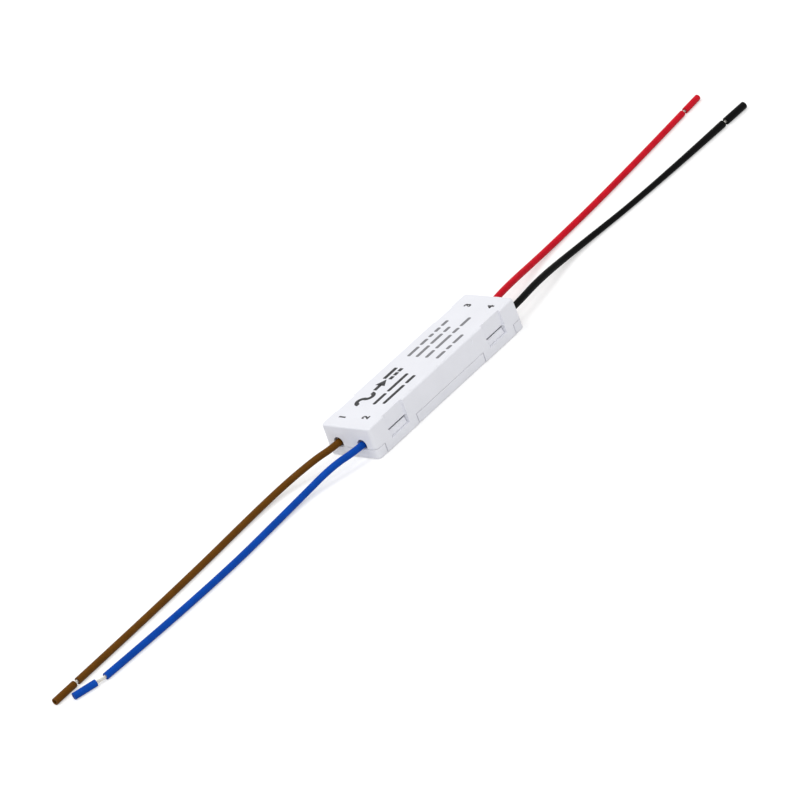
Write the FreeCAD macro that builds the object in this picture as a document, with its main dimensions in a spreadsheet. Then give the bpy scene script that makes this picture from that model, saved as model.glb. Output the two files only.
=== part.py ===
import FreeCAD, Part
import math
import os
import re

import Sketcher

# In-wall decoupler module: a two-shell snap housing with four insulated leads.
# Millimetres. Origin at the middle of the housing's underside, +Z up.
# The input leads leave at -X, the output leads at +X.

SIZES = {
    # Housing, measured at the parting line, where the drafted shells are widest
    "housing_length": 60.0,
    "housing_width": 16.4,
    "housing_height": 8.8,
    "parting_height": 2.9,
    "draft_angle": 1.5,
    "corner_radius": 1.1,
    "inner_corner_radius": 0.6,
    "top_edge_radius": 0.5,
    "bottom_edge_chamfer": 0.35,
    # Cover
    "cover_wall": 1.2,
    "cover_roof": 1.2,
    "leg_inset": 9.8,
    "leg_width": 12.6,
    "leg_lift": 0.15,
    "leg_edge_radius": 0.25,
    "window_width": 7.1,
    "window_bottom": 2.45,
    "window_height": 2.2,
    "recess_width": 7.5,
    "recess_depth": 0.78,
    "arch_radius": 1.45,
    "arch_crown": 5.45,
    "lead_spacing": 7.8,
    "post_length": 1.2,
    "post_width": 0.9,
    "post_inset": 5.7,
    "clamp_rib_length": 0.8,
    "clamp_rib_width": 2.6,
    "clamp_rib_inset": 0.35,
    "gate_mark_place": 11.6,
    "gate_mark_height": 7.35,
    "gate_mark_radius": 0.4,
    "gate_mark_depth": 0.12,
    # Base
    "base_floor": 1.2,
    "rim_wall": 1.0,
    "rim_clearance": 0.1,
    "rim_top": 5.0,
    "shadow_gap": 0.11,
    "shadow_depth": 0.35,
    "leg_slit": 0.22,
    "catch_side_gap": 0.25,
    "catch_foot_gap": 0.05,
    "catch_top_gap": 0.62,
    "catch_reach": 0.6,
    "catch_lip": 0.12,
    "notch_clearance": 0.1,
    # Circuit board
    "board_seat": 2.0,
    "board_thickness": 1.0,
    "board_clearance": 0.25,
    "board_end_clearance": 0.4,
    "board_corner_radius": 0.8,
    "slot_place": 2.5,
    "slot_width": 1.0,
    "slot_length": 7.0,
    # Leads
    "input_lead_radius": 0.9,
    "output_lead_radius": 0.8,
    "input_wire_radius": 0.47,
    "output_wire_radius": 0.38,
    "tail_length": 3.0,
    "jacket_set_in": 1.4,
    "slug_bore_clearance": 0.05,
    "brown_slug_length": 7.3,
    "blue_slug_length": 6.4,
    "red_slug_length": 7.0,
    "black_slug_length": 8.2,
    "brown_gap": 1.1,
    "blue_gap": 2.75,
    "red_gap": 1.35,
    "black_gap": 1.3,
    "blue_bend_angle": 15.0,
    "blue_bend_run": 0.45,
    "worn_edge": 0.3,
    # Solder
    "solder_foot_length": 2.4,
    "solder_foot_width": 2.6,
    "solder_head_length": 1.6,
    "solder_head_width": 1.2,
    "solder_height": 1.5,
    # Parts on the board
    "resistor_radius": 1.15,
    "resistor_length": 5.6,
    "resistor_cap_radius": 1.3,
    "resistor_cap_length": 1.2,
    "resistor_place": -16.2,
    "resistor_side": 2.6,
    "dropper_place": -19.1,
    "dropper_pitch": 2.4,
    "dropper_side": -3.0,
    "dropper_length": 3.2,
    "dropper_width": 1.6,
    "dropper_height": 0.6,
    "chip_cap": 0.5,
    "chip_cap_growth": 0.04,
    "rectifier_place": -8.2,
    "rectifier_side": 1.9,
    "rectifier_length": 3.9,
    "rectifier_width": 4.7,
    "rectifier_height": 2.3,
    "rectifier_pin_pitch": 2.5,
    "capacitor_place": -7.6,
    "capacitor_side": -3.2,
    "capacitor_length": 3.2,
    "capacitor_width": 2.5,
    "capacitor_height": 1.6,
    "zener_place": -4.3,
    "diode_side": -3.0,
    "diode_length": 3.4,
    "diode_width": 1.6,
    "diode_height": 1.1,
    "optocoupler_side": 0.0,
    "optocoupler_length": 6.4,
    "optocoupler_width": 4.6,
    "optocoupler_height": 3.4,
    "optocoupler_pin_pitch": 2.54,
    "pin_width": 0.7,
    "pin_thickness": 0.25,
    "pin_reach": 1.3,
    "package_standoff": 0.15,
    "package_edge": 0.25,
    "transistor_place": 13.0,
    "transistor_side": -2.6,
    "transistor_length": 1.3,
    "transistor_width": 2.9,
    "transistor_height": 1.0,
    "transistor_pin_pitch": 1.9,
    "transistor_pin_reach": 0.6,
    "output_diode_place": 10.2,
    "output_resistor_place": 13.0,
    "output_resistor_pitch": 2.2,
    "output_resistor_side": 3.0,
    "output_resistor_length": 2.0,
    "output_resistor_width": 1.25,
    "output_resistor_height": 0.5,
}

DROPPER_COUNT = 4
OUTPUT_RESISTOR_COUNT = 3

# Places worked out from the driving sizes, as formulas that the features read
HALF_LENGTH = "(housing_length / 2)"
HALF_WIDTH = "(housing_width / 2)"
CAVITY_HALF_LENGTH = f"({HALF_LENGTH} - cover_wall)"
CAVITY_HALF_WIDTH = f"({HALF_WIDTH} - cover_wall)"
RIM_HALF_LENGTH = f"({CAVITY_HALF_LENGTH} - rim_clearance)"
RIM_HALF_WIDTH = f"({CAVITY_HALF_WIDTH} - rim_clearance)"
WELL_HALF_LENGTH = f"({RIM_HALF_LENGTH} - rim_wall)"
WELL_HALF_WIDTH = f"({RIM_HALF_WIDTH} - rim_wall)"
BOARD_HALF_LENGTH = f"({WELL_HALF_LENGTH} - board_end_clearance)"
BOARD_HALF_WIDTH = f"({WELL_HALF_WIDTH} - board_clearance)"
LEG_PLACE = f"({HALF_LENGTH} - leg_inset)"
POST_PLACE = f"({BOARD_HALF_LENGTH} - post_inset)"
POST_SIDE = f"({BOARD_HALF_WIDTH} - post_width / 2)"
BOARD_TOP = "(board_seat + board_thickness)"
CAVITY_TOP = "(housing_height - cover_roof)"
LEAD_SIDE = "(lead_spacing / 2)"
SEAT_LEVEL = "(parting_height - shadow_gap)"
INPUT_LEAD_HEIGHT = f"({BOARD_TOP} + input_lead_radius)"
OUTPUT_LEAD_HEIGHT = f"({BOARD_TOP} + output_lead_radius)"
JACKET_END = f"({BOARD_HALF_LENGTH} - jacket_set_in)"

WINDOW_TOP = "(window_bottom + window_height)"
CATCH_HEAD = f"({WINDOW_TOP} - catch_top_gap)"

# How far a cut runs past the wall that it opens
OVERRUN = "1"
# The height of a formed pin's shoulder, as a share of its package
SHOULDER_SHARE = "0.4"

doc = FreeCAD.newDocument("decoupler_module")
sheet = doc.addObject("Spreadsheet::Sheet", "Dims")
for row, (alias, number) in enumerate(SIZES.items(), start=1):
    sheet.set(f"A{row}", alias)
    sheet.set(f"B{row}", str(number))
    sheet.setAlias(f"B{row}", alias)
doc.recompute()


def ref(formula):
    """A formula of named sizes, written so that it reads them from the sheet."""
    def sheet_name(word):
        name = word.group(0)
        return f"Dims.{name}" if name in SIZES else name

    return re.sub(r"[a-z_]+", sheet_name, formula)


def value(formula):
    """The number that a formula of named sizes comes to."""
    result = sheet.evalExpression(ref(formula))
    return float(getattr(result, "Value", result))


def bind(item, path, formula):
    item.setExpression(path, ref(formula))


# Sketches


def new_body(label):
    body = doc.addObject("PartDesign::Body", label)
    body.Label = label
    return body


def new_sketch(body, name, plane, offset="0"):
    """A sketch on one of the body's own origin planes, moved along its normal by an offset."""
    sketch = body.newObject("Sketcher::SketchObject", name)
    support = next(feature for feature in body.Origin.OriginFeatures if feature.Role == plane)
    sketch.AttachmentSupport = [(support, "")]
    sketch.MapMode = "FlatFace"
    bind(sketch, "AttachmentOffset.Base.z", offset)
    return sketch


def pin_point(sketch, geometry, point, across, along):
    """Holds a point of the sketch at two formulas, measured from the sketch's origin."""
    for kind, formula in (("DistanceX", across), ("DistanceY", along)):
        index = sketch.addConstraint(Sketcher.Constraint(kind, -1, 1, geometry, point, value(formula)))
        bind(sketch, f"Constraints[{index}]", formula)


def add_outline(sketch, corners):
    """A closed outline of straight edges. Each corner is a pair of formulas."""
    points = [FreeCAD.Vector(value(across), value(along), 0) for across, along in corners]
    first = sketch.GeometryCount
    count = len(points)
    for number in range(count):
        sketch.addGeometry(Part.LineSegment(points[number], points[(number + 1) % count]))
    for number in range(count):
        following = first + (number + 1) % count
        sketch.addConstraint(Sketcher.Constraint("Coincident", first + number, 2, following, 1))
    for number, (across, along) in enumerate(corners):
        pin_point(sketch, first + number, 1, across, along)


def add_rectangle(sketch, left, right, low, high):
    add_outline(sketch, [(left, low), (right, low), (right, high), (left, high)])


def add_block(sketch, across, along, width, height):
    """A rectangle about a centre."""
    add_rectangle(sketch, f"{across} - ({width}) / 2", f"{across} + ({width}) / 2",
                  f"{along} - ({height}) / 2", f"{along} + ({height}) / 2")


def add_rounded_rectangle(sketch, half_length, half_width, radius):
    """A rectangle about the origin with round corners."""
    reach, side, bend = value(half_length), value(half_width), value(radius)
    flat_x, flat_y = reach - bend, side - bend
    first = sketch.GeometryCount
    ends = [((-flat_x, -side), (flat_x, -side)), ((reach, -flat_y), (reach, flat_y)),
            ((flat_x, side), (-flat_x, side)), ((-reach, flat_y), (-reach, -flat_y))]
    centres = [(flat_x, -flat_y), (flat_x, flat_y), (-flat_x, flat_y), (-flat_x, -flat_y)]
    for start, end in ends:
        sketch.addGeometry(Part.LineSegment(FreeCAD.Vector(*start, 0), FreeCAD.Vector(*end, 0)))
    for quarter, centre in enumerate(centres):
        circle = Part.Circle(FreeCAD.Vector(*centre, 0), FreeCAD.Vector(0, 0, 1), bend)
        start_angle = math.radians(90 * quarter - 90)
        sketch.addGeometry(Part.ArcOfCircle(circle, start_angle, start_angle + math.radians(90)))
    for quarter in range(4):
        line, arc, next_line = first + quarter, first + 4 + quarter, first + (quarter + 1) % 4
        sketch.addConstraint(Sketcher.Constraint("Tangent", line, 2, arc, 1))
        sketch.addConstraint(Sketcher.Constraint("Tangent", arc, 2, next_line, 1))
        sketch.addConstraint(Sketcher.Constraint("Vertical" if quarter % 2 else "Horizontal", line))
        if quarter:
            sketch.addConstraint(Sketcher.Constraint("Equal", first + 4, arc))
    index = sketch.addConstraint(Sketcher.Constraint("Radius", first + 4, bend))
    bind(sketch, f"Constraints[{index}]", radius)
    for kind, line, formula in (("DistanceY", 0, f"-{half_width}"), ("DistanceX", 1, half_length),
                                ("DistanceY", 2, half_width), ("DistanceX", 3, f"-{half_length}")):
        index = sketch.addConstraint(Sketcher.Constraint(kind, -1, 1, first + line, 1, value(formula)))
        bind(sketch, f"Constraints[{index}]", formula)


def add_arch(sketch, across, foot, crown, radius):
    """An upright slot with a flat foot and a half-round crown."""
    middle, low, bend = value(across), value(foot), value(radius)
    spring = value(crown) - bend
    first = sketch.GeometryCount
    left, right = middle - bend, middle + bend
    sketch.addGeometry(Part.LineSegment(FreeCAD.Vector(left, low, 0), FreeCAD.Vector(right, low, 0)))
    sketch.addGeometry(Part.LineSegment(FreeCAD.Vector(right, low, 0), FreeCAD.Vector(right, spring, 0)))
    circle = Part.Circle(FreeCAD.Vector(middle, spring, 0), FreeCAD.Vector(0, 0, 1), bend)
    sketch.addGeometry(Part.ArcOfCircle(circle, 0, math.pi))
    sketch.addGeometry(Part.LineSegment(FreeCAD.Vector(left, spring, 0), FreeCAD.Vector(left, low, 0)))
    sketch.addConstraint(Sketcher.Constraint("Coincident", first, 2, first + 1, 1))
    sketch.addConstraint(Sketcher.Constraint("Tangent", first + 1, 2, first + 2, 1))
    sketch.addConstraint(Sketcher.Constraint("Tangent", first + 2, 2, first + 3, 1))
    sketch.addConstraint(Sketcher.Constraint("Coincident", first + 3, 2, first, 1))
    sketch.addConstraint(Sketcher.Constraint("Horizontal", first))
    sketch.addConstraint(Sketcher.Constraint("Vertical", first + 1))
    sketch.addConstraint(Sketcher.Constraint("Vertical", first + 3))
    pin_point(sketch, first + 2, 3, across, f"{crown} - {radius}")
    bend_index = sketch.addConstraint(Sketcher.Constraint("Radius", first + 2, bend))
    bind(sketch, f"Constraints[{bend_index}]", radius)
    foot_index = sketch.addConstraint(Sketcher.Constraint("DistanceY", -1, 1, first, 1, low))
    bind(sketch, f"Constraints[{foot_index}]", foot)


def add_circle(sketch, across, along, radius):
    centre = FreeCAD.Vector(value(across), value(along), 0)
    geometry = sketch.addGeometry(Part.Circle(centre, FreeCAD.Vector(0, 0, 1), value(radius)))
    pin_point(sketch, geometry, 3, across, along)
    index = sketch.addConstraint(Sketcher.Constraint("Radius", geometry, value(radius)))
    bind(sketch, f"Constraints[{index}]", radius)


# Features


def pad(body, sketch, length, reverse=False, taper=None, both_ways=False):
    feature = body.newObject("PartDesign::Pad", sketch.Name + "_pad")
    feature.Profile = sketch
    bind(feature, "Length", length)
    feature.Reversed = reverse
    if both_ways:
        feature.SideType = "Symmetric"
    if taper:
        bind(feature, "TaperAngle", taper)
    doc.recompute()
    return feature


def pocket(body, sketch, depth, reverse=False, both_ways=False):
    """Cuts the sketch's outline, and stops if it takes nothing away."""
    before = body.Shape.Volume
    feature = body.newObject("PartDesign::Pocket", sketch.Name + "_cut")
    feature.Profile = sketch
    bind(feature, "Length", depth)
    feature.Reversed = reverse
    if both_ways:
        feature.SideType = "Symmetric"
    doc.recompute()
    if feature.Shape.Volume > before - 1e-6:
        raise RuntimeError(sketch.Name + " cuts nothing")
    return feature


def revolve(body, profile):
    """Turns a profile once round its own horizontal axis."""
    feature = body.newObject("PartDesign::Revolution", profile.Name + "_turn")
    feature.Profile = profile
    feature.ReferenceAxis = (profile, ["H_Axis"])
    feature.Angle = 360
    doc.recompute()
    return feature


def edges_at(shape, level):
    """The names of a shape's edges that lie flat at a level."""
    names = []
    for number, edge in enumerate(shape.Edges, start=1):
        box = edge.BoundBox
        if abs(box.ZMin - level) < 1e-4 and abs(box.ZMax - level) < 1e-4:
            names.append(f"Edge{number}")
    return names


def round_edges(body, base, names, radius):
    feature = body.newObject("PartDesign::Fillet", base.Name + "_round")
    feature.Base = (base, names)
    bind(feature, "Radius", radius)
    doc.recompute()
    return feature


def chamfer_edges(body, base, names, size):
    feature = body.newObject("PartDesign::Chamfer", base.Name + "_chamfer")
    feature.Base = (base, names)
    bind(feature, "Size", size)
    doc.recompute()
    return feature


# Housing


def make_cover():
    """The upper shell: drafted walls, four legs with windows, mould recesses, lead arches and inner ribs."""
    body = new_body("cover")
    outline = new_sketch(body, "cover_outline", "XY_Plane", "parting_height")
    add_rounded_rectangle(outline, HALF_LENGTH, HALF_WIDTH, "corner_radius")
    block = pad(body, outline, "housing_height - parting_height", taper="-draft_angle")
    round_edges(body, block, edges_at(block.Shape, value("housing_height")), "top_edge_radius")

    cavity = new_sketch(body, "cover_cavity", "XY_Plane", "parting_height")
    add_rounded_rectangle(cavity, CAVITY_HALF_LENGTH, CAVITY_HALF_WIDTH, "inner_corner_radius")
    pocket(body, cavity, f"{CAVITY_TOP} - parting_height", reverse=True)

    legs = new_sketch(body, "cover_legs", "XY_Plane", "parting_height")
    for end in ("-", ""):
        add_rectangle(legs, f"{end}{LEG_PLACE} - leg_width / 2", f"{end}{LEG_PLACE} + leg_width / 2",
                      CAVITY_HALF_WIDTH, HALF_WIDTH)
        add_rectangle(legs, f"{end}{LEG_PLACE} - leg_width / 2", f"{end}{LEG_PLACE} + leg_width / 2",
                      f"-{HALF_WIDTH}", f"-{CAVITY_HALF_WIDTH}")
    leg_pad = pad(body, legs, "parting_height - leg_lift", reverse=True)
    outer_feet = []
    for number, edge in enumerate(leg_pad.Shape.Edges, start=1):
        box = edge.BoundBox
        on_foot = abs(box.ZMax - value("leg_lift")) < 1e-4
        on_side = abs(max(abs(box.YMin), abs(box.YMax)) - value(HALF_WIDTH)) < 1e-4
        if on_foot and on_side and box.XLength > value("leg_width") / 2:
            outer_feet.append(f"Edge{number}")
    round_edges(body, leg_pad, outer_feet, "leg_edge_radius")

    recesses = new_sketch(body, "mould_recesses", "XY_Plane", "housing_height")
    for end in ("-", ""):
        left = f"{end}{LEG_PLACE} - recess_width / 2"
        right = f"{end}{LEG_PLACE} + recess_width / 2"
        add_rectangle(recesses, left, right, f"{HALF_WIDTH} - recess_depth", f"{HALF_WIDTH} + {OVERRUN}")
        add_rectangle(recesses, left, right, f"-{HALF_WIDTH} - {OVERRUN}", f"-{HALF_WIDTH} + recess_depth")
    pocket(body, recesses, f"housing_height - {WINDOW_TOP}")

    windows = new_sketch(body, "catch_windows", "XZ_Plane")
    for end in ("-", ""):
        add_rectangle(windows, f"{end}{LEG_PLACE} - window_width / 2", f"{end}{LEG_PLACE} + window_width / 2",
                      "window_bottom", WINDOW_TOP)
    pocket(body, windows, f"housing_width + 2 * {OVERRUN}", both_ways=True)

    arches = new_sketch(body, "lead_arches", "YZ_Plane")
    for side in ("-", ""):
        add_arch(arches, f"{side}{LEAD_SIDE}", f"parting_height - {OVERRUN}", "arch_crown", "arch_radius")
    pocket(body, arches, f"housing_length + 2 * {OVERRUN}", both_ways=True)

    posts = new_sketch(body, "board_posts", "XY_Plane", BOARD_TOP)
    for across in (f"-{POST_PLACE}", POST_PLACE):
        for along in (f"-{POST_SIDE}", POST_SIDE):
            add_block(posts, across, along, "post_length", "post_width")
    pad(body, posts, f"{CAVITY_TOP} - {BOARD_TOP}")

    rib_place = f"({JACKET_END} + clamp_rib_inset + clamp_rib_length / 2)"
    for name, end, height in (("input", "-", f"{INPUT_LEAD_HEIGHT} + input_lead_radius"),
                              ("output", "", f"{OUTPUT_LEAD_HEIGHT} + output_lead_radius")):
        ribs = new_sketch(body, f"{name}_clamp_ribs", "XY_Plane", height)
        for along in (f"-{LEAD_SIDE}", LEAD_SIDE):
            add_block(ribs, end + rib_place, along, "clamp_rib_length", "clamp_rib_width")
        pad(body, ribs, f"{CAVITY_TOP} - ({height})")

    gate = new_sketch(body, "gate_mark", "XZ_Plane", f"{HALF_WIDTH} + {OVERRUN}")
    add_circle(gate, "gate_mark_place", "gate_mark_height", "gate_mark_radius")
    draft_there = "(gate_mark_height - parting_height) * tan(draft_angle * 1 deg)"
    pocket(body, gate, f"{OVERRUN} + {draft_there} + gate_mark_depth")
    return body


def make_base():
    """The lower shell: a drafted tray with a rim that fits inside the cover and carries the catches."""
    body = new_body("base")
    outline = new_sketch(body, "base_outline", "XY_Plane", SEAT_LEVEL)
    add_rounded_rectangle(outline, HALF_LENGTH, HALF_WIDTH, "corner_radius")
    block = pad(body, outline, SEAT_LEVEL, reverse=True, taper="-draft_angle")
    chamfer_edges(body, block, edges_at(block.Shape, 0.0), "bottom_edge_chamfer")

    seat = new_sketch(body, "base_seat", "XY_Plane", SEAT_LEVEL)
    add_rounded_rectangle(seat, f"({HALF_LENGTH} - shadow_depth)", f"({HALF_WIDTH} - shadow_depth)",
                          "(corner_radius - shadow_depth)")
    pad(body, seat, "shadow_gap")

    rim = new_sketch(body, "base_rim", "XY_Plane", "parting_height")
    add_rounded_rectangle(rim, RIM_HALF_LENGTH, RIM_HALF_WIDTH, "inner_corner_radius")
    pad(body, rim, "rim_top - parting_height")

    well = new_sketch(body, "base_well", "XY_Plane", "rim_top")
    add_rounded_rectangle(well, WELL_HALF_LENGTH, WELL_HALF_WIDTH, "inner_corner_radius / 2")
    pocket(body, well, "rim_top - base_floor")

    slots = new_sketch(body, "leg_slots", "XY_Plane", "parting_height")
    for end in ("-", ""):
        left = f"{end}{LEG_PLACE} - leg_width / 2 - leg_slit"
        right = f"{end}{LEG_PLACE} + leg_width / 2 + leg_slit"
        add_rectangle(slots, left, right, RIM_HALF_WIDTH, f"{HALF_WIDTH} + {OVERRUN}")
        add_rectangle(slots, left, right, f"-{HALF_WIDTH} - {OVERRUN}", f"-{RIM_HALF_WIDTH}")
    pocket(body, slots, "parting_height")

    reliefs = new_sketch(body, "catch_reliefs", "XZ_Plane")
    for end in ("-", ""):
        add_rectangle(reliefs, f"{end}{LEG_PLACE} - window_width / 2", f"{end}{LEG_PLACE} + window_width / 2",
                      CATCH_HEAD, f"rim_top + {OVERRUN}")
    pocket(body, reliefs, "housing_width", both_ways=True)

    foot = "window_bottom + catch_foot_gap"
    for end in ("-", ""):
        catches = new_sketch(body, f"catches_{'input' if end else 'output'}", "YZ_Plane", f"{end}{LEG_PLACE}")
        for side in ("-", ""):
            root = f"{side}{RIM_HALF_WIDTH}"
            sign = "-" if side else "+"
            add_outline(catches, [(f"{root}", foot), (f"{root} {sign} catch_reach", foot),
                                  (f"{root} {sign} catch_lip", CATCH_HEAD), (f"{root}", CATCH_HEAD)])
        pad(body, catches, "window_width - 2 * catch_side_gap", both_ways=True)

    notches = new_sketch(body, "lead_notches", "YZ_Plane")
    for side in ("-", ""):
        across = f"{side}{LEAD_SIDE}"
        add_rectangle(notches, f"{across} - arch_radius", f"{across} + arch_radius",
                      f"{BOARD_TOP} - notch_clearance", f"rim_top + {OVERRUN}")
    pocket(body, notches, f"housing_length + 2 * {OVERRUN}", both_ways=True)

    supports = new_sketch(body, "board_supports", "XY_Plane", "base_floor")
    for across in (f"-{POST_PLACE}", "0", POST_PLACE):
        for along in (f"-{POST_SIDE}", POST_SIDE):
            add_block(supports, across, along, "post_length", "post_width")
    pad(body, supports, "board_seat - base_floor")
    return body


# Circuit board and the parts on it


def make_board():
    """The board, with the isolation slot between the mains side and the low-voltage side."""
    body = new_body("circuit_board")
    outline = new_sketch(body, "board_outline", "XY_Plane", "board_seat")
    add_rounded_rectangle(outline, BOARD_HALF_LENGTH, BOARD_HALF_WIDTH, "board_corner_radius")
    pad(body, outline, "board_thickness")
    slot = new_sketch(body, "isolation_slot", "XY_Plane", BOARD_TOP)
    add_block(slot, "slot_place", "0", "slot_width", "slot_length")
    pocket(body, slot, "board_thickness")
    return body


def make_package(label, place, side, sizes, pin_pitch, reach, left_pins, right_pins):
    """A moulded package on formed pins. Pins are counted in half pitches from the middle of each side."""
    length, width, height = sizes
    body = new_body(label)
    bind(body, "Placement.Base.x", place)
    bind(body, "Placement.Base.y", side)
    bind(body, "Placement.Base.z", BOARD_TOP)
    outline = new_sketch(body, f"{label}_outline", "XY_Plane", "package_standoff")
    add_block(outline, "0", "0", length, width)
    block = pad(body, outline, height)
    top = value(f"package_standoff + {height}")
    chamfer_edges(body, block, edges_at(block.Shape, top), "package_edge")
    shoulder = f"package_standoff + {height} * {SHOULDER_SHARE}"
    for direction, pins in (("-", left_pins), ("+", right_pins)):
        for number, half_pitches in enumerate(pins):
            sketch = new_sketch(body, f"{label}_{'left' if direction == '-' else 'right'}_pin_{number}",
                                "XZ_Plane", f"{half_pitches} * {pin_pitch} / 2")
            wall = f"{direction} {length} / 2"
            out = f"{direction} ({length} / 2 + {reach} / 2)"
            toe = f"{direction} ({length} / 2 + {reach})"
            knee = f"{direction} ({length} / 2 + {reach} / 2 - pin_thickness)"
            add_outline(sketch, [(wall, shoulder), (knee, shoulder), (knee, "0"), (toe, "0"),
                                 (toe, "pin_thickness"), (out, "pin_thickness"),
                                 (out, f"{shoulder} + pin_thickness"), (wall, f"{shoulder} + pin_thickness")])
            pad(body, sketch, "pin_width", both_ways=True)
    return body


def make_box(name, corner, sizes):
    item = doc.addObject("Part::Box", name)
    for axis, formula in zip("xyz", corner):
        bind(item, "Placement.Base." + axis, formula)
    for side, formula in zip(("Length", "Width", "Height"), sizes):
        bind(item, side, formula)
    return item


def make_chip(name, place, side, sizes):
    """A chip part that lies across the board: its body and a metal cap on each end."""
    length, width, height = sizes
    growth = "chip_cap_growth"
    core = make_box(f"{name}_core", (f"{place} - {width} / 2", f"{side} - {length} / 2 + chip_cap",
                                     f"{BOARD_TOP} + {growth}"),
                    (width, f"{length} - 2 * chip_cap", height))
    caps = []
    for number, low in enumerate((f"{side} - {length} / 2", f"{side} + {length} / 2 - chip_cap")):
        corner = (f"{place} - {width} / 2 - {growth}", low, BOARD_TOP)
        caps.append(make_box(f"{name}_cap_{number}", corner,
                             (f"{width} + 2 * {growth}", "chip_cap", f"{height} + 2 * {growth}")))
    chip = doc.addObject("Part::MultiFuse", name)
    chip.Shapes = [core] + caps
    chip.Label = name
    return chip


def make_chip_row(label, count, place, pitch, side, sizes):
    group = doc.addObject("Part::Compound", label)
    group.Links = [make_chip(f"{label}_{number}", f"{place} + {number} * {pitch}", side, sizes)
                   for number in range(count)]
    group.Label = label
    return group


def make_fusible_resistor():
    """A cylindrical resistor that lies on the board on its two wider end caps."""
    body = new_body("fusible_resistor")
    bind(body, "Placement.Base.x", "resistor_place")
    bind(body, "Placement.Base.y", "resistor_side")
    bind(body, "Placement.Base.z", f"{BOARD_TOP} + resistor_cap_radius")
    profile = new_sketch(body, "resistor_profile", "XZ_Plane")
    end = "resistor_length / 2"
    neck = "resistor_length / 2 - resistor_cap_length"
    add_outline(profile, [(f"-({end})", "0"), (end, "0"), (end, "resistor_cap_radius"),
                          (neck, "resistor_cap_radius"), (neck, "resistor_radius"),
                          (f"-({neck})", "resistor_radius"), (f"-({neck})", "resistor_cap_radius"),
                          (f"-({end})", "resistor_cap_radius")])
    revolve(body, profile)
    return body


# Leads

# Each lead's route, from its soldered end inside the housing to its cut end: straight out of the arch,
# down to the surface that the module lies on, then along it. The points are chosen by hand.
ROUTES = {
    "brown": [(-25.9, 3.9, 3.9), (-34.4, 3.9, 3.9), (-51.0, 10.9, 1.0), (-89.1, 8.6, 0.9), (-127.2, 8.4, 0.9)],
    "blue": [(-25.9, -3.9, 3.9), (-34.1, -3.9, 3.9), (-50.4, 2.0, 1.0), (-87.2, -0.4, 0.9), (-124.0, 1.9, 0.9)],
    "red": [(25.9, 3.9, 3.8), (36.2, 3.9, 3.8), (57.2, 9.0, 1.2), (93.8, 10.7, 0.8), (130.1, 14.15, 0.8)],
    "black": [(25.9, -3.9, 3.8), (37.0, -3.9, 3.8), (60.0, 1.1, 1.2), (93.0, -1.9, 0.8), (126.0, -2.6, 0.8)],
}
LEAD_KINDS = {"brown": "input", "blue": "input", "red": "output", "black": "output"}
# The leads whose stripped tip is bent out of line
BENT_TIPS = ("blue",)
# The leads whose slug has a worn far end
WORN_SLUGS = ("red",)
# The share of the shorter run that an arc takes up on each side of a point
ARC_SHARE = 0.45


def route_wire(points):
    """Straight runs joined by tangent arcs, each as large as its two runs allow, and the arcs' radii."""
    corners = [FreeCAD.Vector(*point) for point in points]
    edges, radii = [], []
    reached = corners[0]
    for before, corner, after in zip(corners, corners[1:], corners[2:]):
        arriving, leaving = corner - before, after - corner
        turn = arriving.getAngle(leaving)
        setback = ARC_SHARE * min(arriving.Length, leaving.Length)
        arriving.normalize()
        leaving.normalize()
        start = corner - arriving * setback
        finish = corner + leaving * setback
        radius = setback / math.tan(turn / 2)
        inward = leaving - arriving
        inward.normalize()
        middle = corner + inward * (radius / math.cos(turn / 2) - radius)
        edges.append(Part.LineSegment(reached, start).toShape())
        edges.append(Part.Arc(start, middle, finish).toShape())
        radii.append(radius)
        reached = finish
    edges.append(Part.LineSegment(reached, corners[-1]).toShape())
    return Part.Wire(edges), radii


def swept_tube(name, points, radius):
    """A round tube along a route, checked against its section times its length."""
    wire, radii = route_wire(points)
    heading = FreeCAD.Vector(*points[1]) - FreeCAD.Vector(*points[0])
    section = Part.Wire([Part.makeCircle(radius, FreeCAD.Vector(*points[0]), heading)])
    tube = wire.makePipeShell([section], True, False)
    expected = math.pi * radius ** 2 * wire.Length
    print(f"{name}: length {wire.Length:.1f}, tightest arc {min(radii, default=0):.1f}, "
          f"volume {tube.Volume:.2f} of {expected:.2f}")
    print("   arc radii " + " ".join(f"{bend:.0f}" for bend in radii))
    if abs(tube.Volume - expected) > 0.01 * expected:
        raise RuntimeError(name + " is not a sound tube")
    return tube


def shape_feature(label, shape):
    item = doc.addObject("Part::Feature", label)
    item.Shape = shape
    item.Label = label
    return item


def lead_route(colour):
    """The lead's points, with its two inner ones and its height on the surface set by the sizes."""
    kind = LEAD_KINDS[colour]
    radius = value(f"{kind}_lead_radius")
    exit_height = value(INPUT_LEAD_HEIGHT if kind == "input" else OUTPUT_LEAD_HEIGHT)
    side = math.copysign(value(LEAD_SIDE), ROUTES[colour][0][1])
    end = math.copysign(value(JACKET_END), ROUTES[colour][0][0])
    points = [(end, side, exit_height)]
    for across, along, level in ROUTES[colour][1:]:
        points.append((across, along, max(level, radius)))
    return points


def tip_points(colour):
    """The stripped tip's line from the lead's cut end: straight on, or bent just outside the jacket."""
    points = lead_route(colour)
    end = FreeCAD.Vector(*points[-1])
    heading = end - FreeCAD.Vector(*points[-2])
    heading.z = 0
    heading.normalize()
    length = value(f"{colour}_slug_length")
    if colour not in BENT_TIPS:
        return [end, end + heading * length]
    bend_run = value(f"{colour}_bend_run")
    corner = end + heading * bend_run
    turned = FreeCAD.Rotation(FreeCAD.Vector(0, 0, 1), -value(f"{colour}_bend_angle")).multVec(heading)
    return [end, corner, corner + turned * (length - bend_run)]


def make_lead(colour):
    kind = LEAD_KINDS[colour]
    return shape_feature(f"{colour}_lead",
                         swept_tube(f"{colour}_lead", lead_route(colour), value(f"{kind}_lead_radius")))


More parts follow.
